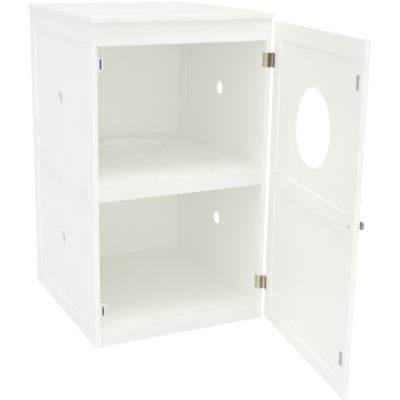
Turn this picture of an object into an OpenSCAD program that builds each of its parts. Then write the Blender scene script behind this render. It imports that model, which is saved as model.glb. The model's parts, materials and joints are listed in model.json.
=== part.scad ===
// Two-storey cat litter cabinet of painted board: a case with framed sides, a middle shelf
// with a round passage, and one framed door with a round cat entrance.
// Origin: floor level, at the centre of the top board's footprint. X is to the right,
// Y is to the back, Z is up. Millimetres.

/* [Overall] */
// Width over the top board
cabinet_w = 530; // [510:5:560]
// Depth over the top board
cabinet_d = 580; // [560:5:620]
// Height from the floor to the top surface
cabinet_h = 900; // [890:5:920]

/* [Boards] */
// Thickness of the top board
top_t = 16; // [15:1:20]
// Thickness of the frames and the front rails
board_t = 15; // [15:1:17]
// Thickness of the middle shelf and the bottom board
shelf_t = 12; // [12:1:14]
// Thickness of the panels inside the frames
panel_t = 7; // [6:1:8]
// Thickness of the back panel
back_t = 5; // [4:1:6]
// Overhang of the top board at each side
side_overhang = 3; // [1:1:6]
// Overhang of the top board in front of the sides
front_overhang = 10; // [6:1:14]
// Overhang of the top board behind the sides
back_overhang = 2; // [1:1:6]
// Rounding of the outer edges of the boards
soft_r = 1.5; // [1:0.5:2]

/* [Frames] */
// Width of a side's stiles, with the bevel
side_stile_w = 55; // [52:1:60]
// Width of the door's stiles, with the bevel
door_stile_w = 50; // [48:1:56]
// Width of the bevel around each panel
bevel_w = 5; // [4:1:8]
// Depth of the groove that holds a panel
groove_d = 6; // [5:1:7]

/* [Storeys] */
// Height of the middle shelf's top
shelf_top = 464; // [455:1:465]
// Height of the bottom board's top
base_top = 50; // [46:1:50]
// Height of the rail under the top board
header_h = 60; // [50:1:70]
// Height of the rail under the middle shelf
shelf_rail_h = 50; // [44:1:56]
// Setback of the front rails behind the sides' front edges
rail_setback = 2; // [1:1:4]

/* [Round openings] */
// Diameter of the cat entrance in the door
cat_hole_d = 205; // [180:5:210]
// Diameter of the passage in the shelf
passage_d = 212; // [190:2:220]
// Height of the middle of the cat entrance
cat_hole_z = 631; // [620:1:650]
// Passage in the shelf, from the middle of the cabinet to the right
passage_x = 16; // [0:1:30]
// Passage in the shelf, from the middle of the cabinet to the back
passage_y = 131; // [100:1:140]
// Diameter of the vent holes in the sides
vent_d = 40; // [30:1:60]

/* [Door] */
// Angle that the door stands open
door_open = 81; // [0:1:180]
// Reach of the door past the left side's outer face
door_reach = 1; // [0:1:2]
// Gap under the door
door_bottom = 8; // [5:1:10]
// Gap between the door and the top board
door_top_gap = 6; // [3:1:8]
// Diameter of the knob
knob_d = 24; // [20:1:30]
// Projection of the knob
knob_l = 23; // [22:1:28]

/* [Hinges and catches] */
// Length of a hinge
hinge_l = 40; // [38:1:50]
// Distance from the door's mid height to a hinge's middle
hinge_span = 327; // [310:1:330]
// Radius of a hinge pin
pin_r = 1.45; // [1.4:0.05:1.5]
// Distance of the upper catch above the door's mid height
upper_catch_span = 337; // [330:1:345]
// Distance of the lower catch below the door's mid height
lower_catch_span = 335; // [330:1:338]

/* [Hidden] */
$fn = 64;
soft_steps = 3;
fit = 0.1;
over = 1;

// case
half_w = cabinet_w / 2 - side_overhang;
inner_x = half_w - board_t;
front_y = -cabinet_d / 2 + front_overhang;
rear_y = cabinet_d / 2 - back_overhang;
side_d = rear_y - front_y;
case_h = cabinet_h - top_t;
rail_y = front_y + rail_setback;
rail_back_y = rail_y + board_t;
back_y = rear_y - back_t;
back_rebate = 8;
back_bottom = 5;
board_mid = board_t / 2;
recess = (board_t - panel_t) / 2;
panel_play = 0.5;

// frames of the sides
side_bottom_w = base_top + bevel_w;
side_top_w = 57;
mid_lo = shelf_top - 50;
mid_hi = shelf_top + 11;
vent_y = (front_y + rear_y) / 2;
vent_upper_z = shelf_top + 189;
vent_lower_z = base_top + 184;

// door, drawn closed and then swung about the hinge pins
door_w = 2 * half_w + door_reach;
door_h = case_h - door_top_gap - door_bottom;
door_mid_z = door_bottom + door_h / 2;
door_top_w = 52;
door_bottom_w = 46;
door_mid_hi = shelf_top + 7;
leaf_t = 1.2;
leaf_play = 0.2;
door_inner_y = front_y - 2 * leaf_t - leaf_play;

// hinges
barrel_r = 2.9;
pin_x = half_w + barrel_r + fit;
pin_y = front_y - leaf_t - leaf_play / 2;
case_leaf_w = 20;
door_leaf_w = 14;
knuckle_gap = 0.3;
knuckle_lo = -hinge_l / 6;
knuckle_hi = hinge_l / 6;
hinge_zs = [door_mid_z + hinge_span, door_mid_z - hinge_span];
hinge_screw_dz = 13;
case_screw_y = front_y + 12;
door_screw_x = half_w - 8;

// catches
catch_zs = [door_mid_z + upper_catch_span, door_mid_z - lower_catch_span];
catch_w = 16;
latch_x = -inner_x + catch_w / 2;
catch_l = 46;
catch_body_l = 32;
catch_depth = 24;
catch_flange_t = 3;
catch_screw_dz = 19.5;
magnet_w = 3.0;
magnet_l = 26;
magnet_depth = 18;
pole_t = 0.9;
pole_proud = 1.0;
strike_t = 1;
strike_w = 14;
strike_l = 34;

// flat-pack fittings
cam_d = 15;
cam_reach = 24;
shelf_cam_h = 10;
side_cam_h = 12;
bolt_thread_d = 5;
bolt_thread_l = 11;
bolt_neck_d = 4;
bolt_head_d = 6.5;
bolt_head_l = 3;
dowel_d = 8;
dowel_l = 30;
dowel_in = 10;
small_dowel_d = 6;
edge_dowel_l = 20;
edge_dowel_in = 8;
cam_ys = [-170, 160];
dowel_ys = [-212, 205];
top_cam_ys = [-150, 140];
edge_xs = [-160, 0, 160];
board_zs = [shelf_top - shelf_t, base_top - shelf_t];
rail_dowel_zs = [case_h - 44, case_h - 14, shelf_top - 37, shelf_top - 15, 13, base_top - 13];

// wood screws: head diameter, shank diameter, head height, length
small_screw = [6, 3, 1.6, 13];
back_screw = [7, 3.2, 1.9, 18];
back_side_zs = [70, 250, 440, 640, 850];
back_board_xs = [-130, 130];

board_white = [0.93, 0.93, 0.91];
raw_beech = [0.80, 0.66, 0.46];
zinc = [0.72, 0.72, 0.72];
aged_brass = [0.62, 0.57, 0.46];
catch_white = [0.90, 0.90, 0.88];
magnet_black = [0.10, 0.10, 0.10];
nickel = [0.62, 0.61, 0.60];

// ---------- outlines ----------

// Quarter circle about a centre, starting at an angle
function arc(cx, cy, r, start) = [
    for (i = [0 : soft_steps])
        [cx + r * cos(start + 90 * i / soft_steps), cy + r * sin(start + 90 * i / soft_steps)]
];

// Rectangle with rounded corners, its first corner at the origin
function soft_rect(w, h, r) = concat(
    arc(r, r, r, 180), arc(w - r, r, r, 270), arc(w - r, h - r, r, 0), arc(r, h - r, r, 90)
);

// Section of a frame member with a free outer edge, and a bevel and groove at its inner edge
function edge_section(w) = concat(
    arc(soft_r, soft_r, soft_r, 180),
    [
        [w - bevel_w, 0], [w, recess], [w - groove_d, recess],
        [w - groove_d, board_t - recess], [w, board_t - recess], [w - bevel_w, board_t]
    ],
    arc(soft_r, board_t - soft_r, soft_r, 90)
);

// Section of a frame member with a bevel and groove at both edges
function mid_section(w) = [
    [bevel_w, 0], [w - bevel_w, 0], [w, recess], [w - groove_d, recess],
    [w - groove_d, board_t - recess], [w, board_t - recess],
    [w - bevel_w, board_t], [bevel_w, board_t], [0, board_t - recess],
    [groove_d, board_t - recess], [groove_d, recess], [0, recess]
];

// ---------- general shapes ----------

// Bar along X; its section's first axis runs up and its second to the back
module bar_x(length, section) {
    rotate([90, 0, 90])
        linear_extrude(height = length)
            polygon([for (p = section) [p[1], p[0]]]);
}

// Board with its lowest corner at p, and its long edges along X rounded
module soft_board(p, size) {
    translate(p)
        bar_x(size[0], soft_rect(size[2], size[1], soft_r));
}

// Countersunk wood screw, its head's face at the origin and its tip along +Z
module wood_screw(s) {
    rotate_extrude()
        polygon([
            [0, 0], [s[0] / 2, 0], [s[0] / 2, 0.3], [s[1] / 2, s[2]],
            [s[1] / 2, s[3] - s[1]], [0, s[3]]
        ]);
}

// Hole for such a screw, with a little room all round
module screw_hole(s) {
    translate([0, 0, -over])
        cylinder(d = s[0] + 2 * fit, h = over + 0.3 + fit);
    translate([0, 0, 0.3 + fit])
        cylinder(d1 = s[0] + 2 * fit, d2 = s[1] + 2 * fit, h = s[2] - 0.3);
    cylinder(d = s[1] + 2 * fit, h = s[3] + 2 * fit);
}

// Cross recess in a screw's head
module cross_slot(d, depth) {
    for (a = [0, 90])
        rotate([0, 0, a])
            translate([-d / 2, -d / 10, -over])
                cube([d, d / 5, depth + over]);
}

module screw_with_slot(s) {
    difference() {
        wood_screw(s);
        cross_slot(s[0] * 0.6, 0.8);
    }
}

// Pin along X through a side's inner face: side is -1 for left and 1 for right
module x_pin(side, y, z, d, into_side, into_board) {
    translate([side * (inner_x + into_side), y, z])
        rotate([0, -side * 90, 0])
            cylinder(d = d, h = into_side + into_board);
}

// ---------- flat-pack joints ----------

// Everything drilled into one side and the boards and rails that meet it
module side_drilling(side) {
    for (z = rail_dowel_zs)
        x_pin(side, rail_y + board_mid, z, dowel_d + 2 * fit, dowel_in + fit, dowel_l - dowel_in + fit);
    for (z = board_zs, y = dowel_ys)
        x_pin(side, y, z + shelf_t / 2, small_dowel_d + 2 * fit, dowel_in + fit, dowel_l - dowel_in + fit);
    for (z = board_zs, y = cam_ys) {
        x_pin(side, y, z + shelf_t / 2, bolt_thread_d + 2 * fit, bolt_thread_l + fit, over);
        x_pin(side, y, z + shelf_t / 2, bolt_head_d + 2 * fit, 0, cam_reach);
        translate([side * (inner_x - cam_reach), y, z - over])
            cylinder(d = cam_d + 2 * fit, h = shelf_cam_h + fit + over);
    }
}

// Everything drilled between one side and the top board
module top_drilling(side) {
    x = side * (half_w - board_mid);
    for (y = dowel_ys)
        translate([x, y, case_h - dowel_l + dowel_in - fit])
            cylinder(d = dowel_d + 2 * fit, h = dowel_l + 2 * fit);
    for (y = top_cam_ys) {
        translate([x, y, case_h - over])
            cylinder(d = bolt_thread_d + 2 * fit, h = bolt_thread_l + fit + over);
        translate([x, y, case_h - cam_reach])
            cylinder(d = bolt_head_d + 2 * fit, h = cam_reach);
        translate([side * (inner_x - over), y, case_h - cam_reach])
            rotate([0, side * 90, 0])
                cylinder(d = cam_d + 2 * fit, h = side_cam_h + fit + over);
    }
}

// Dowels between the front rails and the boards behind or above them
module edge_pins(extra) {
    for (x = edge_xs) {
        for (z = board_zs)
            translate([x, rail_back_y - edge_dowel_in - extra, z + shelf_t / 2])
                rotate([-90, 0, 0])
                    cylinder(d = small_dowel_d + 2 * extra, h = edge_dowel_l + 2 * extra);
        translate([x, rail_y + board_mid, case_h - edge_dowel_l / 2 - extra])
            cylinder(d = small_dowel_d + 2 * extra, h = edge_dowel_l + 2 * extra);
    }
}

// Places of the back panel's screws, which point to the front
module at_back_screws() {
    for (side = [-1, 1], z = back_side_zs)
        translate([side * (inner_x + back_rebate / 2), rear_y, z])
            rotate([90, 0, 0])
                children();
    for (x = back_board_xs, z = board_zs)
        translate([x, rear_y, z + shelf_t / 2])
            rotate([90, 0, 0])
                children();
}

// Cam bolt along +Z: the thread is below the origin, and the head reaches into the cam
module cam_bolt() {
    translate([0, 0, -bolt_thread_l])
        cylinder(d = bolt_thread_d, h = bolt_thread_l);
    cylinder(d = bolt_neck_d, h = cam_reach - bolt_head_l);
    translate([0, 0, cam_reach - bolt_head_l])
        cylinder(d = bolt_head_d, h = bolt_head_l);
}

// Cam disc along +Z from its visible face, with its pocket for the bolt's head towards +X
module cam_disc(h, pocket_z) {
    difference() {
        cylinder(d = cam_d, h = h);
        translate([-bolt_head_d / 2, 0, pocket_z])
            rotate([0, 90, 0])
                cylinder(d = bolt_head_d + 4 * fit, h = cam_d);
        cross_slot(cam_d * 0.6, 1.5);
    }
}

// ---------- framed sides ----------

// A frame stands in the XZ plane with its lower left corner at the origin, its thickness along Y
module near_stile(frame_h, w) {
    linear_extrude(height = frame_h)
        polygon(edge_section(w));
}

module far_stile(frame_w, frame_h, w) {
    translate([frame_w, 0, 0])
        mirror([1, 0, 0])
            near_stile(frame_h, w);
}

// Cuts a rail's ends to fit over the stiles' bevels and into their grooves
module coped(frame_w, frame_h, w) {
    difference() {
        children();
        near_stile(frame_h, w);
        far_stile(frame_w, frame_h, w);
    }
}

module bottom_rail(frame_w, frame_h, stile_w, w) {
    flat = stile_w - bevel_w;
    coped(frame_w, frame_h, stile_w)
        translate([flat, 0, 0])
            bar_x(frame_w - 2 * flat, edge_section(w));
}

module top_rail(frame_w, frame_h, stile_w, w) {
    flat = stile_w - bevel_w;
    coped(frame_w, frame_h, stile_w)
        translate([flat, 0, frame_h])
            mirror([0, 0, 1])
                bar_x(frame_w - 2 * flat, edge_section(w));
}

module mid_rail(frame_w, frame_h, stile_w, lo, hi) {
    flat = stile_w - bevel_w;
    coped(frame_w, frame_h, stile_w)
        translate([flat, 0, lo])
            bar_x(frame_w - 2 * flat, mid_section(hi - lo));
}

// Panel between two rails, let into the grooves all round
module field_panel(frame_w, stile_w, lo, hi) {
    reach = groove_d - panel_play;
    translate([stile_w - reach, recess, lo - reach])
        cube([frame_w - 2 * (stile_w - reach), panel_t, hi - lo + 2 * reach]);
}

module on_side(side) {
    translate([side > 0 ? half_w : -inner_x, front_y, 0])
        rotate([0, 0, 90])
            children();
}

module side_part(side) {
    color(board_white)
        difference() {
            on_side(side)
                children();
            side_drilling(side);
            top_drilling(side);
        }
}

module front_stile(side) {
    difference() {
        side_part(side)
            near_stile(case_h, side_stile_w);
        if (side > 0)
            at_case_leaf_screws()
                screw_hole(small_screw);
        else
            at_catch_screws()
                screw_hole(small_screw);
    }
}

module rear_stile(side) {
    difference() {
        side_part(side)
            far_stile(side_d, case_h, side_stile_w);
        translate([side * (inner_x + back_rebate / 2) - back_rebate / 2, back_y, back_bottom])
            cube([back_rebate, back_t + over, case_h]);
        at_back_screws()
            screw_hole(back_screw);
    }
}

module side_top_rail(side) {
    side_part(side)
        top_rail(side_d, case_h, side_stile_w, side_top_w);
}

module side_mid_rail(side) {
    side_part(side)
        mid_rail(side_d, case_h, side_stile_w, mid_lo, mid_hi);
}

module side_bottom_rail(side) {
    side_part(side)
        bottom_rail(side_d, case_h, side_stile_w, side_bottom_w);
}

module side_panel(side, lo, hi, vent_z) {
    color(board_white)
        difference() {
            on_side(side)
                field_panel(side_d, side_stile_w, lo, hi);
            translate([side * half_w, vent_y, vent_z])
                rotate([0, 90, 0])
                    cylinder(d = vent_d, h = 4 * board_t, center = true, $fn = 96);
        }
}

module left_front_stile() { front_stile(-1); }
module left_rear_stile() { rear_stile(-1); }
module left_top_rail() { side_top_rail(-1); }
module left_mid_rail() { side_mid_rail(-1); }
module left_bottom_rail() { side_bottom_rail(-1); }
module left_upper_panel() { side_panel(-1, mid_hi, case_h - side_top_w, vent_upper_z); }
module left_lower_panel() { side_panel(-1, side_bottom_w, mid_lo, vent_lower_z); }
module right_front_stile() { front_stile(1); }
module right_rear_stile() { rear_stile(1); }
module right_top_rail() { side_top_rail(1); }
module right_mid_rail() { side_mid_rail(1); }
module right_bottom_rail() { side_bottom_rail(1); }
module right_upper_panel() { side_panel(1, mid_hi, case_h - side_top_w, vent_upper_z); }
module right_lower_panel() { side_panel(1, side_bottom_w, mid_lo, vent_lower_z); }

// ---------- boards and front rails ----------

module top_board() {
    color(board_white)
        difference() {
            intersection() {
                soft_board([-cabinet_w / 2, -cabinet_d / 2, case_h], [cabinet_w, cabinet_d, top_t]);
                translate([-cabinet_w / 2, cabinet_d / 2, case_h])
                    rotate([90, 0, 0])
                        linear_extrude(height = cabinet_d)
                            polygon(soft_rect(cabinet_w, top_t, soft_r));
                translate([-cabinet_w / 2, -cabinet_d / 2, case_h])
                    linear_extrude(height = top_t)
                        polygon(soft_rect(cabinet_w, cabinet_d, 2 * soft_r));
            }
            top_drilling(-1);
            top_drilling(1);
            edge_pins(fit);
        }
}

module front_rail(bottom, height) {
    color(board_white)
        difference() {
            soft_board([-inner_x, rail_y, bottom], [2 * inner_x, board_t, height]);
            side_drilling(-1);
            side_drilling(1);
            edge_pins(fit);
        }
}

module header_rail() { front_rail(case_h - header_h, header_h); }
module shelf_rail() { front_rail(shelf_top - shelf_rail_h, shelf_rail_h); }
module base_rail() { front_rail(0, base_top); }

// Board between the sides, behind a front rail, in front of the back panel
module floor_board(top) {
    difference() {
        translate([-inner_x, rail_back_y, top - shelf_t])
            cube([2 * inner_x, back_y - rail_back_y, shelf_t]);
        side_drilling(-1);
        side_drilling(1);
        edge_pins(fit);
        at_back_screws()
            screw_hole(back_screw);
    }
}

module middle_shelf() {
    color(board_white)
        difference() {
            floor_board(shelf_top);
            translate([passage_x, passage_y, shelf_top - shelf_t - over])
                cylinder(d = passage_d, h = shelf_t + 2 * over, $fn = 128);
        }
}

module bottom_board() {
    color(board_white)
        floor_board(base_top);
}

module back_panel() {
    color(board_white)
        difference() {
            translate([-inner_x - back_rebate, back_y, back_bottom])
                cube([2 * (inner_x + back_rebate), back_t, case_h - back_bottom]);
            at_back_screws()
                screw_hole(back_screw);
        }
}

// ---------- flat-pack fittings ----------

module cam_discs() {
    color(zinc)
        for (side = [-1, 1]) {
            for (z = board_zs, y = cam_ys)
                translate([side * (inner_x - cam_reach), y, z])
                    rotate([0, 0, side > 0 ? 0 : 180])
                        cam_disc(shelf_cam_h, shelf_t / 2);
            for (y = top_cam_ys)
                translate([side * inner_x, y, case_h - cam_reach])
                    rotate([0, side * 90, 0])
                        rotate([0, 0, side > 0 ? 180 : 0])
                            cam_disc(side_cam_h, board_mid);
        }
}

module cam_bolts() {
    color(zinc)
        for (side = [-1, 1]) {
            for (z = board_zs, y = cam_ys)
                translate([side * inner_x, y, z + shelf_t / 2])
                    rotate([0, -side * 90, 0])
                        cam_bolt();
            for (y = top_cam_ys)
                translate([side * (half_w - board_mid), y, case_h])
                    rotate([180, 0, 0])
                        cam_bolt();
        }
}

module rail_dowels() {
    color(raw_beech)
        for (side = [-1, 1]) {
            for (z = rail_dowel_zs)
                x_pin(side, rail_y + board_mid, z, dowel_d, dowel_in, dowel_l - dowel_in);
            for (y = dowel_ys)
                translate([side * (half_w - board_mid), y, case_h - dowel_l + dowel_in])
                    cylinder(d = dowel_d, h = dowel_l);
        }
}

module board_dowels() {
    color(raw_beech) {
        for (side = [-1, 1], z = board_zs, y = dowel_ys)
            x_pin(side, y, z + shelf_t / 2, small_dowel_d, dowel_in, dowel_l - dowel_in);
        edge_pins(0);
    }
}

module back_screws() {
    color(zinc)
        at_back_screws()
            screw_with_slot(back_screw);
}

// ---------- magnetic catches, on the left side ----------

module at_catch_screws() {
    for (z = catch_zs, dz = [-catch_screw_dz, catch_screw_dz])
        translate([-inner_x + catch_flange_t, front_y + catch_depth / 2, z + dz])
            rotate([0, -90, 0])
                children();
}

// Room inside the housing for the magnet and its two pole plates
module magnet_stack(z, extra) {
    translate([latch_x - magnet_w / 2 - pole_t - extra, front_y, z - magnet_l / 2 - extra])
        cube([magnet_w + 2 * pole_t + 2 * extra, magnet_depth + extra, magnet_l + 2 * extra]);
}

module catch_housing(z) {
    color(catch_white)
        difference() {
            union() {
                translate([-inner_x, front_y, z - catch_l / 2])
                    cube([catch_flange_t, catch_depth, catch_l]);
                translate([-inner_x, front_y, z - catch_body_l / 2])
                    cube([catch_w, catch_depth, catch_body_l]);
            }
            magnet_stack(z, 0);
            at_catch_screws()
                screw_hole(small_screw);
        }
}

module upper_catch_housing() { catch_housing(catch_zs[0]); }
module lower_catch_housing() { catch_housing(catch_zs[1]); }

module catch_magnets() {
    color(magnet_black)
        for (z = catch_zs)
            translate([latch_x - magnet_w / 2, front_y + 0.5, z - magnet_l / 2])
                cube([magnet_w, magnet_depth - 0.5, magnet_l]);
}

module catch_pole_plates() {
    color(magnet_black)
        for (z = catch_zs, side = [-1, 1])
            translate([
                latch_x + side * (magnet_w + pole_t) / 2 - pole_t / 2,
                front_y - pole_proud, z - magnet_l / 2
            ])
                cube([pole_t, magnet_depth + pole_proud, magnet_l]);
}

module catch_screws() {
    color(zinc)
        at_catch_screws()
            screw_with_slot(small_screw);
}

// ---------- hinges, on the right side ----------

module barrel(lo, hi) {
    translate([pin_x, pin_y, lo])
        cylinder(r = barrel_r, h = hi - lo);
}

module pin_bore(z) {
    translate([pin_x, pin_y, z - hinge_l])
        cylinder(r = pin_r + 0.05, h = 2 * hinge_l);
}

module at_case_leaf_screws() {
    for (z = hinge_zs, dz = [-hinge_screw_dz, hinge_screw_dz])
        translate([inner_x - leaf_t, case_screw_y, z + dz])
            rotate([0, 90, 0])
                children();
}

// Leaf around the front edge of the right side, from its inner face to the barrel
module case_leaf(z) {
    lo = z - hinge_l / 2;
    clear_x = pin_x - barrel_r - knuckle_gap;
    color(aged_brass)
        difference() {
            union() {
                translate([inner_x - leaf_t, front_y - leaf_t, lo])
                    cube([leaf_t, case_leaf_w + leaf_t, hinge_l]);
                translate([inner_x - leaf_t, front_y - leaf_t, lo])
                    cube([pin_x - inner_x + leaf_t - pin_r, leaf_t, hinge_l]);
                barrel(lo, z + knuckle_lo);
                barrel(z + knuckle_hi, z + hinge_l / 2);
            }
            translate([clear_x, pin_y - 2 * barrel_r, z + knuckle_lo])
                cube([4 * barrel_r, 4 * barrel_r, knuckle_hi - knuckle_lo]);
            pin_bore(z);
            at_case_leaf_screws()
                screw_hole(small_screw);
        }
}

module upper_case_leaf() { case_leaf(hinge_zs[0]); }
module lower_case_leaf() { case_leaf(hinge_zs[1]); }

module hinge_pin(z) {
    head_h = 1.5;
    color(aged_brass)
        translate([pin_x, pin_y, 0]) {
            translate([0, 0, z - hinge_l / 2 - 1])
                cylinder(r = pin_r, h = hinge_l + 1);
            translate([0, 0, z + hinge_l / 2])
                cylinder(r = barrel_r * 0.85, h = head_h);
            translate([0, 0, z + hinge_l / 2 + head_h])
                cylinder(r1 = barrel_r * 0.85, r2 = barrel_r * 0.5, h = head_h / 2);
        }
}

module upper_hinge_pin() { hinge_pin(hinge_zs[0]); }
module lower_hinge_pin() { hinge_pin(hinge_zs[1]); }

module case_leaf_screws() {
    color(aged_brass)
        at_case_leaf_screws()
            screw_with_slot(small_screw);
}

// ---------- door ----------

// Swings what is drawn for the closed door about the hinge pins
module swung() {
    translate([pin_x, pin_y, 0])
        rotate([0, 0, door_open])
            translate([-pin_x, -pin_y, 0])
                children();
}

// Puts a frame, drawn from its latch side, at the closed door's place
module on_door() {
    translate([half_w - door_w, door_inner_y - board_t, door_bottom])
        children();
}

// Rounds the door's top and bottom edges
module door_outline() {
    bar_x(door_w, soft_rect(door_h, board_t, soft_r));
}

module at_door_leaf_screws() {
    for (z = hinge_zs, dz = [-hinge_screw_dz, hinge_screw_dz])
        translate([door_screw_x, door_inner_y + leaf_t, z + dz])
            rotate([90, 0, 0])
                children();
}

module at_strike_screws() {
    for (z = catch_zs)
        translate([latch_x, door_inner_y + strike_t, z])
            rotate([90, 0, 0])
                children();
}

module knob_screw_hole() {
    translate([latch_x, door_inner_y + over, door_mid_z])
        rotate([90, 0, 0])
            cylinder(d = 4.5, h = board_t + 2 * over);
}

module door_hinge_stile() {
    color(board_white)
        swung()
            difference() {
                on_door()
                    intersection() {
                        far_stile(door_w, door_h, door_stile_w);
                        door_outline();
                    }
                at_door_leaf_screws()
                    screw_hole(small_screw);
            }
}

module door_latch_stile() {
    color(board_white)
        swung()
            difference() {
                on_door()
                    intersection() {
                        near_stile(door_h, door_stile_w);
                        door_outline();
                    }
                at_strike_screws()
                    screw_hole(small_screw);
                knob_screw_hole();
            }
}

module door_top_rail() {
    color(board_white)
        swung()
            on_door()
                top_rail(door_w, door_h, door_stile_w, door_top_w);
}

module door_mid_rail() {
    color(board_white)
        swung()
            on_door()
                mid_rail(door_w, door_h, door_stile_w, mid_lo - door_bottom, door_mid_hi - door_bottom);
}

module door_bottom_rail() {
    color(board_white)
        swung()
            on_door()
                bottom_rail(door_w, door_h, door_stile_w, door_bottom_w);
}

module door_upper_panel() {
    color(board_white)
        swung()
            difference() {
                on_door()
                    field_panel(door_w, door_stile_w, door_mid_hi - door_bottom, door_h - door_top_w);
                translate([half_w - door_w / 2, door_inner_y + over, cat_hole_z])
                    rotate([90, 0, 0])
                        cylinder(d = cat_hole_d, h = board_t + 2 * over, $fn = 128);
            }
}

module door_lower_panel() {
    color(board_white)
        swung()
            on_door()
                field_panel(door_w, door_stile_w, door_bottom_w, mid_lo - door_bottom);
}

// Flat leaf on the door's inner face, with the middle knuckle
module door_leaf(z) {
    clear_x = pin_x - barrel_r - knuckle_gap;
    color(aged_brass)
        swung()
            difference() {
                union() {
                    translate([half_w - door_leaf_w, door_inner_y, z - hinge_l / 2])
                        cube([clear_x - half_w + door_leaf_w, leaf_t, hinge_l]);
                    translate([half_w - door_leaf_w, door_inner_y, z + knuckle_lo + knuckle_gap])
                        cube([
                            pin_x - half_w + door_leaf_w - pin_r, leaf_t,
                            knuckle_hi - knuckle_lo - 2 * knuckle_gap
                        ]);
                    barrel(z + knuckle_lo + knuckle_gap, z + knuckle_hi - knuckle_gap);
                }
                pin_bore(z);
                at_door_leaf_screws()
                    screw_hole(small_screw);
            }
}

module upper_door_leaf() { door_leaf(hinge_zs[0]); }
module lower_door_leaf() { door_leaf(hinge_zs[1]); }

module door_leaf_screws() {
    color(aged_brass)
        swung()
            at_door_leaf_screws()
                screw_with_slot(small_screw);
}

module strike_plate(z) {
    color(zinc)
        swung()
            difference() {
                translate([latch_x - strike_w / 2, door_inner_y, z - strike_l / 2])
                    cube([strike_w, strike_t, strike_l]);
                at_strike_screws()
                    screw_hole(small_screw);
            }
}

module upper_strike_plate() { strike_plate(catch_zs[0]); }
module lower_strike_plate() { strike_plate(catch_zs[1]); }

module strike_screws() {
    color(zinc)
        swung()
            at_strike_screws()
                screw_with_slot(small_screw);
}

// Turned knob: a foot, a waist and a domed head, with a blind hole for its screw
module knob() {
    r = knob_d / 2;
    color(nickel)
        swung()
            translate([latch_x, door_inner_y - board_t, door_mid_z])
                rotate([90, 0, 0])
                    difference() {
                        rotate_extrude()
                            polygon(concat(
                                [[0, 0], [r * 0.62, 0], [r * 0.62, 1.6]],
                                [for (a = [0 : 15 : 90]) [
                                    r * 0.62 - r * 0.22 * sin(a), 1.6 + 6 * (1 - cos(a))
                                ]],
                                [[r * 0.40, 10]],
                                [for (a = [-60 : 15 : 90]) [
                                    r * cos(a) * 0.98, knob_l - 6.5 + 6.5 * sin(a)
                                ]]
                            ));
                        translate([0, 0, -over])
                            cylinder(d = 4 + 2 * fit, h = 12 + over);
                    }
}

// Pan-head machine screw through the door into the knob
module knob_screw() {
    head_h = 2.2;
    color(zinc)
        swung()
            translate([latch_x, door_inner_y + head_h, door_mid_z])
                rotate([90, 0, 0])
                    difference() {
                        rotate_extrude()
                            polygon([
                                [0, 0], [2.6, 0], [3.8, 0.9], [3.8, head_h], [2, head_h],
                                [2, head_h + board_t + 10], [0, head_h + board_t + 10]
                            ]);
                        cross_slot(4, 1.2);
                    }
}

// ---------- nodes ----------

top_board();
left_front_stile();
left_rear_stile();
left_top_rail();
left_mid_rail();
left_bottom_rail();
left_upper_panel();
left_lower_panel();
right_front_stile();
right_rear_stile();
right_top_rail();
right_mid_rail();
right_bottom_rail();
right_upper_panel();
right_lower_panel();
header_rail();
middle_shelf();
shelf_rail();
bottom_board();
base_rail();
back_panel();
cam_discs();
cam_bolts();
rail_dowels();
board_dowels();
back_screws();
upper_catch_housing();
lower_catch_housing();
catch_magnets();
catch_pole_plates();
catch_screws();
upper_case_leaf();
lower_case_leaf();
upper_hinge_pin();
lower_hinge_pin();
case_leaf_screws();
door_hinge_stile();
door_latch_stile();
door_top_rail();
door_mid_rail();
door_bottom_rail();
door_upper_panel();
door_lower_panel();
upper_door_leaf();
lower_door_leaf();
door_leaf_screws();
upper_strike_plate();
lower_strike_plate();
strike_screws();
knob();
knob_screw();
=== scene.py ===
"""Looks for the two-storey cat litter cabinet: materials, a turned knob, studio and camera."""
import json
import math

import bmesh
import bpy
from mathutils import Matrix, Vector


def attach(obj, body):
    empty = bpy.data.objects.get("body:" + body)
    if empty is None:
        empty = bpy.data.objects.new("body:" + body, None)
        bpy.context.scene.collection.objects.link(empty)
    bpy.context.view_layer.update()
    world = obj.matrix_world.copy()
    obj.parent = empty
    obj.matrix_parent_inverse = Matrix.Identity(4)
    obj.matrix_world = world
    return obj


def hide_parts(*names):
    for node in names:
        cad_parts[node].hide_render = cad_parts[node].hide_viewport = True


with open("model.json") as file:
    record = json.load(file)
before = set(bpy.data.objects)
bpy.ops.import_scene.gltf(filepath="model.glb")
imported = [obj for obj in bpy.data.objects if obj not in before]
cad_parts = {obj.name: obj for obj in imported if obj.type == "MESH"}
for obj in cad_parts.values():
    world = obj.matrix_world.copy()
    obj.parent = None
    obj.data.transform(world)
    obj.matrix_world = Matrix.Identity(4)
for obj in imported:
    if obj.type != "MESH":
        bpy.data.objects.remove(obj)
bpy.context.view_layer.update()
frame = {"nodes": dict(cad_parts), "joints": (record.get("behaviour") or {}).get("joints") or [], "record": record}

SLOT_OF = {s["node"]: s["material_slot"] for s in frame["record"]["subparts"]}
UP = Vector((0.0, 0.0, 1.0))
WHITE = (1.0, 1.0, 1.0, 1.0)

PAINT_TINT = (0.954, 0.955, 0.922)
PAINT_ROUGHNESS = 0.42
# The two front rails get a copy of the paint a shade darker: painted shade, for the lesser light that falls on
# them.
SHADED_FRONT_RAILS = ("shelf_rail", "base_rail")
RAIL_PAINTED_SHADE = 0.93
# This plate's zinc is painted darker than the other one's: painted shade, for the darker surroundings it reflects.
SHADED_STRIKE_PLATE = "lower_strike_plate"

# Where the hinges' painted reflections and painted shade change, in metres at rest.
WRAP_X = (0.2450, 0.2700)
LEAF_Y = (-0.2620, -0.2810)
DOOR_LEAF_Y = (-0.2850, -0.2840)
BETWEEN_HINGES_Z = (0.30, 0.60)

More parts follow.
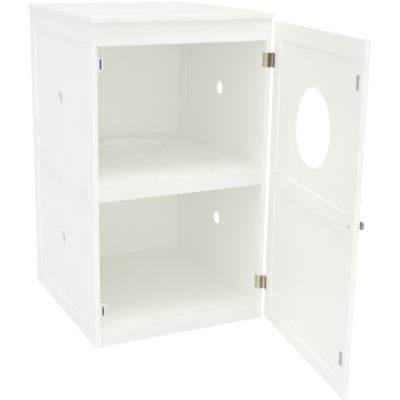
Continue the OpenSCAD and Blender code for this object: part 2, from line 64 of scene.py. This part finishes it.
# Azimuth, elevation and spread in degrees, and strength.
LIGHTS = {
    "high_light": (0.0, 89.0, 50.0, 1.61),
    "left_high_light": (95.0, 55.0, 50.0, 0.53),
    "left_light": (80.0, 15.0, 50.0, 0.58),
    "front_left_light": (30.0, 30.0, 50.0, 0.59),
    "front_right_light": (-40.0, 50.0, 50.0, 0.77),
    "low_front_light": (8.0, 5.0, 24.0, 0.27),
}
WORLD_LIGHT = 0.150
FLOOR_LIGHT, FLOOR_SEEN = 0.47, 1.1
FLOOR_HALF_SIZE = 30.0

CAMERA_PLACE = (-1.0023, -2.3708, 1.0656)
CAMERA_AZIMUTH, CAMERA_ELEVATION, CAMERA_ROLL = 25.179, 14.412, 0.658
CAMERA_LENS, CAMERA_SHIFT = 78.91, (0.0555, -0.0650)


# ---------- materials ----------

class Shader:
    """A procedural material under construction: a Principled BSDF and the nodes that feed it."""

    def __init__(self, name):
        self.material = bpy.data.materials.new(name)
        self.material.use_nodes = True
        self.tree = self.material.node_tree
        self.bsdf = self.tree.nodes["Principled BSDF"]
        self.coords = self.tree.nodes.new("ShaderNodeTexCoord").outputs["Object"]

    def set(self, **values):
        """Constant values on the BSDF's own sockets."""
        for key, value in values.items():
            self.bsdf.inputs[key.replace("_", " ")].default_value = value

    def link(self, output, socket):
        self.tree.links.new(output, self.bsdf.inputs[socket])

    def node(self, kind, inputs=(), **settings):
        """A new node, with each input set to a value or linked to a socket."""
        made = self.tree.nodes.new(kind)
        for key, value in settings.items():
            setattr(made, key, value)
        for key, value in dict(inputs).items():
            if isinstance(value, bpy.types.NodeSocket):
                self.tree.links.new(value, made.inputs[key])
            else:
                made.inputs[key].default_value = value
        return made

    def stretched(self, scale):
        """Object coordinates, stretched along the axes."""
        return self.node("ShaderNodeMapping", {"Vector": self.coords, "Scale": scale}).outputs[0]

    def place(self, axis):
        """One coordinate of the point at rest, in metres."""
        return self.node("ShaderNodeSeparateXYZ", {"Vector": self.coords}).outputs[axis]

    def noise(self, scale, detail=2.0, rough=0.5, vector=None, distortion=0.0):
        return self.node("ShaderNodeTexNoise", {
            "Vector": vector or self.coords, "Scale": scale, "Detail": detail,
            "Roughness": rough, "Distortion": distortion,
        }).outputs["Fac"]

    def ramp(self, value, stops):
        """Colours at positions from 0 to 1."""
        made = self.node("ShaderNodeValToRGB", {"Fac": value})
        while len(made.color_ramp.elements) < len(stops):
            made.color_ramp.elements.new(0.5)
        for element, (place, colour) in zip(made.color_ramp.elements, stops):
            element.position = place
            element.color = (*colour, 1.0)
        return made.outputs["Color"]

    def remap(self, value, low, high, start=0.3, end=0.7):
        """From low to high, as the value goes from start to end."""
        return self.node("ShaderNodeMapRange", {
            "Value": value, "From Min": start, "From Max": end, "To Min": low, "To Max": high,
        }).outputs["Result"]

    def blend(self, amount, first, second):
        """From the first colour to the second, as amount goes from 0 to 1."""
        return self.node("ShaderNodeMixRGB", {
            "Fac": amount, "Color1": first, "Color2": second,
        }).outputs["Color"]

    def shade(self, colour, factor):
        """The colour, darker or lighter by a factor."""
        return self.node("ShaderNodeVectorMath", {0: colour, "Scale": factor},
                         operation="SCALE").outputs["Vector"]

    def rounded(self, radius):
        """Normals that round each edge by a radius in metres."""
        return self.node("ShaderNodeBevel", {"Radius": radius}, samples=4).outputs["Normal"]

    def bump(self, height, distance, strength=1.0, normal=None):
        inputs = {"Height": height, "Distance": distance, "Strength": strength}
        if normal is not None:
            inputs["Normal"] = normal
        return self.node("ShaderNodeBump", inputs).outputs["Normal"]


def painted_board(name, tint):
    """Sprayed satin paint on fibreboard: orange peel, faint clouding and rounded edges."""
    s = Shader(name)
    clouds = s.noise(5.0, 3.0, 0.55)
    low = [c * 0.982 for c in tint]
    high = [min(1.0, c * 1.012) for c in tint]
    s.link(s.ramp(clouds, [(0.3, low), (0.7, high)]), "Base Color")
    s.link(s.remap(s.noise(38.0, 3.0), PAINT_ROUGHNESS - 0.05, PAINT_ROUGHNESS + 0.06), "Roughness")
    s.set(IOR=1.47)
    waves = s.bump(s.noise(140.0, 2.0), 0.00012, 0.5, s.rounded(0.0009))
    s.link(s.bump(s.noise(620.0, 2.0, 0.6), 0.00005, 0.6, waves), "Normal")
    return s.material


def beech(name):
    """Raw beech with short flecks along the grain."""
    s = Shader(name)
    fibres = s.noise(1.0, 4.0, 0.6, s.stretched((30.0, 900.0, 900.0)), 0.3)
    s.link(s.ramp(fibres, [
        (0.3, (0.46, 0.29, 0.15)), (0.55, (0.60, 0.41, 0.23)), (0.8, (0.68, 0.49, 0.30)),
    ]), "Base Color")
    s.link(s.remap(fibres, 0.55, 0.75), "Roughness")
    s.link(s.bump(fibres, 0.0001, 0.5), "Normal")
    return s.material


def plated(name, dark, bright, rough, patch=90.0, brushed=(1.0, 1.0, 1.0)):
    """Plated metal with patches in its plating, fine scratches and worn spots."""
    s = Shader(name)
    patches = s.noise(patch, 4.0, 0.6, distortion=0.4)
    scratches = s.noise(900.0, 3.0, 0.6, s.stretched(brushed))
    s.link(s.ramp(patches, [(0.32, dark), (0.68, bright)]), "Base Color")
    s.set(Metallic=1.0)
    s.link(s.remap(scratches, rough - 0.08, rough + 0.12), "Roughness")
    s.link(s.bump(scratches, 0.00003, 0.5, s.rounded(0.0003)), "Normal")
    return s.material


def hinge_patina_and_painted_reflections(name):
    """Brass plate with a blotched, streaked patina, and painted reflections and shade: pale on the leaf, painted
    shade nearly black where it wraps the board's edge, a painted highlight down the barrel, a dark door leaf.
    """
    s = Shader(name)
    x, y = s.place("X"), s.place("Y")
    blotches = s.noise(260.0, 4.0, 0.65, distortion=0.5)
    streaks = s.noise(1.0, 3.0, 0.6, s.stretched((900.0, 900.0, 160.0)))
    across = s.remap(x, 0.0, 1.0, *WRAP_X)
    # Painted reflection: the leaf is pale, brightest towards its edge, for the bright inside it reflects.
    leaf = s.ramp(s.remap(y, 0.0, 1.0, *LEAF_Y), [
        (0.0, (0.70, 0.61, 0.43)), (0.45, (0.64, 0.56, 0.39)), (0.80, (0.88, 0.79, 0.58)),
    ])
    # Painted shade nearly black on the wrap over the board's edge, then a painted highlight down the barrel.
    wrap = s.ramp(across, [
        (0.100, (0.64, 0.54, 0.36)), (0.190, (0.40, 0.33, 0.21)), (0.340, (0.16, 0.125, 0.070)),
        (0.500, (0.22, 0.185, 0.120)), (0.680, (0.42, 0.38, 0.29)), (0.780, (0.48, 0.44, 0.35)),
        (0.850, (0.26, 0.25, 0.19)),
    ])
    # Painted light: the lower hinge is painted much paler where it wraps the edge.
    paler = s.remap(s.place("Z"), 0.55, 0.0, *BETWEEN_HINGES_Z)
    wrap = s.blend(paler, wrap, s.shade(wrap, 2.6))
    # Painted reflection and painted shade, not wear: the pale leaf passes into the dark wrap across the hinge.
    worn = s.blend(s.remap(across, 0.0, 1.0, 0.082, 0.090), leaf, wrap)
    # Painted shade: the door's leaf is a dark, mottled grey.
    door_leaf_painted_shade = s.ramp(blotches, [(0.35, (0.18, 0.18, 0.14)), (0.65, (0.42, 0.41, 0.34))])
    colour = s.blend(s.remap(y, 1.0, 0.0, *DOOR_LEAF_Y), worn, door_leaf_painted_shade)
    colour = s.blend(s.remap(blotches, 0.0, 0.60, 0.48, 0.62), colour, s.shade(colour, 0.35))
    colour = s.blend(s.remap(streaks, 0.0, 0.45, 0.45, 0.65), colour, s.shade(colour, 1.50))
    s.link(colour, "Base Color")
    s.set(Metallic=1.0)
    s.link(s.remap(blotches, 0.30, 0.50), "Roughness")
    s.link(s.bump(blotches, 0.00005, 0.6, s.rounded(0.0003)), "Normal")
    return s.material


def moulded(name, tint):
    """Moulded white plastic with a fine spark texture."""
    s = Shader(name)
    s.link(s.ramp(s.noise(12.0, 2.0), [(0.3, [c * 0.96 for c in tint]), (0.7, tint)]), "Base Color")
    grain = s.noise(1500.0, 1.0)
    s.link(s.remap(grain, 0.38, 0.5), "Roughness")
    s.link(s.bump(grain, 0.00003, 0.5, s.rounded(0.0006)), "Normal")
    return s.material


def ferrite(name):
    """Dark sintered magnet."""
    s = Shader(name)
    grain = s.noise(1200.0, 3.0, 0.7)
    s.link(s.ramp(grain, [(0.3, (0.030, 0.030, 0.031)), (0.7, (0.075, 0.073, 0.070))]), "Base Color")
    s.link(s.remap(grain, 0.45, 0.65), "Roughness")
    s.link(s.bump(grain, 0.00004, 0.6), "Normal")
    return s.material


LOOKS = {
    "white_board": painted_board("white_paint", PAINT_TINT),
    "raw_beech": beech("raw_beech"),
    "zinc_steel": plated("zinc_plate", (0.56, 0.55, 0.52), (0.74, 0.73, 0.70), 0.34),
    "aged_brass": hinge_patina_and_painted_reflections("aged_brass"),
    "white_plastic": moulded("white_plastic", (0.83, 0.83, 0.81)),
    "black_magnet": ferrite("ferrite"),
    "satin_nickel": plated("satin_nickel", (0.18, 0.177, 0.168), (0.62, 0.61, 0.59), 0.26, 170.0,
                           (1.0, 1.0, 6.0)),
}
# Painted shade: the paint a shade darker for the two front rails.
RAIL_PAINT_WITH_PAINTED_SHADE = painted_board("white_paint_painted_shade", [c * RAIL_PAINTED_SHADE for c in PAINT_TINT])
# Painted shade: the zinc painted darker for the lower strike plate.
ZINC_PAINTED_SHADE = plated("zinc_plate_painted_shade", (0.38, 0.37, 0.35), (0.51, 0.50, 0.48), 0.34)
OWN_LOOKS = {**dict.fromkeys(SHADED_FRONT_RAILS, RAIL_PAINT_WITH_PAINTED_SHADE), SHADED_STRIKE_PLATE: ZINC_PAINTED_SHADE}

for name, obj in frame["nodes"].items():
    obj.data.materials.clear()
    obj.data.materials.append(OWN_LOOKS.get(name, LOOKS[SLOT_OF[name]]))


def add(name, data):
    """A new object in the scene, with its data."""
    obj = bpy.data.objects.new(name, data)
    bpy.context.scene.collection.objects.link(obj)
    return obj


# ---------- new pieces ----------

def knob_profile(length, radius):
    """Radius and height of each ring of a ball knob, from its foot plate over the waisted neck."""
    foot_r, rim_r, neck_r, ball_r = (k * radius for k in (0.60, 0.64, 0.34, 0.93))
    foot_h, cut, neck_steps, ball_steps = 0.0018, 0.90, 8, 24
    middle = 0.74 * length
    half = length - middle
    rings = [(0.0, 0.0), (foot_r, 0.0), (rim_r, 0.0004), (rim_r, 0.0013), (foot_r, foot_h)]
    for i in range(1, neck_steps + 1):
        t = i / neck_steps
        ease = t * t * (3.0 - 2.0 * t)
        height = foot_h + t * (middle - cut * half - foot_h)
        rings.append((foot_r * (1.0 - ease) + neck_r * ease, height))
    start = math.asin(-cut)
    for i in range(ball_steps + 1):
        a = start + (math.pi / 2 - start) * i / ball_steps
        rings.append((ball_r * math.cos(a) if i < ball_steps else 0.0, middle + half * math.sin(a)))
    return rings


def turned_knob(cad_node, out, turns=56):
    """Turned knob in the CAD knob's place. The unit vector out points away from the door."""
    points = [v.co for v in frame["nodes"][cad_node].data.vertices]
    middle = sum(points, Vector()) / len(points)
    along = [(p - middle).dot(out) for p in points]
    foot = middle + min(along) * out
    radius = max(((p - foot) - (p - foot).dot(out) * out).length for p in points)
    side = out.cross(UP)
    mesh = bmesh.new()
    rings = []
    for r, z in knob_profile(max(along) - min(along), radius):
        if r == 0.0:
            rings.append([mesh.verts.new(foot + z * out)] * turns)
            continue
        rings.append([
            mesh.verts.new(foot + z * out + r * (math.cos(a) * side + math.sin(a) * UP))
            for a in (math.tau * k / turns for k in range(turns))
        ])
    for low, high in zip(rings, rings[1:]):
        for k in range(turns):
            corners = [low[k], low[(k + 1) % turns], high[(k + 1) % turns], high[k]]
            mesh.faces.new(list(dict.fromkeys(corners)))
    bmesh.ops.recalc_face_normals(mesh, faces=mesh.faces)
    for face in mesh.faces:
        face.smooth = True
    data = bpy.data.meshes.new("turned_knob")
    mesh.to_mesh(data)
    mesh.free()
    data.materials.append(LOOKS["satin_nickel"])
    piece = add("turned_knob", data)
    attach(piece, "door")
    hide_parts(cad_node)


# At rest the door stands open by as much as it can close.
door_open = -math.radians(frame["joints"][0]["range_deg"][0])
turned_knob("knob", Vector((math.sin(door_open), -math.cos(door_open), 0.0)))


# ---------- studio ----------

def plain_floor():
    """Wide pale floor, bright enough to run into the backdrop."""
    mesh = bmesh.new()
    bmesh.ops.create_grid(mesh, x_segments=2, y_segments=2, size=FLOOR_HALF_SIZE)
    data = bpy.data.meshes.new("floor")
    mesh.to_mesh(data)
    mesh.free()
    s = Shader("pale_floor")
    greys = [(0.3, (0.30, 0.30, 0.30)), (0.7, (0.32, 0.32, 0.32))]
    s.link(s.ramp(s.noise(0.6, 2.0), greys), "Base Color")
    s.set(Roughness=0.9, Specular_IOR_Level=0.0, Emission_Color=WHITE)
    seen = s.node("ShaderNodeLightPath").outputs["Is Camera Ray"]
    s.link(s.remap(seen, FLOOR_LIGHT, FLOOR_SEEN, 0.0, 1.0), "Emission Strength")
    data.materials.append(s.material)
    add("floor", data)


def backdrop(strength):
    """White all round to the camera, and an even light of its own strength on everything else."""
    world = bpy.data.worlds.new("studio")
    world.use_nodes = True
    nodes, links = world.node_tree.nodes, world.node_tree.links
    seen, light = nodes["Background"], nodes.new("ShaderNodeBackground")
    seen.inputs["Color"].default_value = light.inputs["Color"].default_value = WHITE
    light.inputs["Strength"].default_value = strength
    mix = nodes.new("ShaderNodeMixShader")
    links.new(nodes.new("ShaderNodeLightPath").outputs["Is Camera Ray"], mix.inputs["Fac"])
    links.new(light.outputs["Background"], mix.inputs[1])
    links.new(seen.outputs["Background"], mix.inputs[2])
    links.new(mix.outputs["Shader"], nodes["World Output"].inputs["Surface"])
    bpy.context.scene.world = world


def heading(azimuth, elevation):
    """Unit vector that looks down at an elevation. Azimuth 0 is along +Y and 90 along +X, in degrees."""
    a, e = math.radians(azimuth), math.radians(elevation)
    return Vector((math.sin(a) * math.cos(e), math.cos(a) * math.cos(e), -math.sin(e)))


def far_light(name, azimuth, elevation, spread, strength):
    """Soft light from far away, shining along a heading."""
    data = bpy.data.lights.new(name, "SUN")
    data.angle = math.radians(spread)
    data.energy = strength
    lamp = add(name, data)
    lamp.rotation_mode = "QUATERNION"
    lamp.rotation_quaternion = heading(azimuth, elevation).to_track_quat("-Z", "Y")


def camera():
    """Camera in the photograph's place, with its heading, roll and framing."""
    ahead, r = heading(CAMERA_AZIMUTH, CAMERA_ELEVATION), math.radians(CAMERA_ROLL)
    level = ahead.cross(UP).normalized()
    above = level.cross(ahead)
    right = math.cos(r) * level + math.sin(r) * above
    up = math.cos(r) * above - math.sin(r) * level
    data = bpy.data.cameras.new("camera")
    data.sensor_width = 36.0
    data.lens = CAMERA_LENS
    data.shift_x, data.shift_y = CAMERA_SHIFT
    data.clip_end = 100.0
    matrix = Matrix((right, up, -ahead)).transposed().to_4x4()
    matrix.translation = Vector(CAMERA_PLACE)
    obj = add("camera", data)
    obj.matrix_world = matrix
    bpy.context.scene.camera = obj


plain_floor()
backdrop(WORLD_LIGHT)
for name, values in LIGHTS.items():
    far_light(name, *values)
camera()

# The photograph's soft contrast, and enough bounces for the light inside white boards.
scene = bpy.context.scene
scene.view_settings.view_transform = "Standard"
scene.view_settings.gamma = 1.4
scene.cycles.diffuse_bounces = 12
scene.cycles.max_bounces = 16
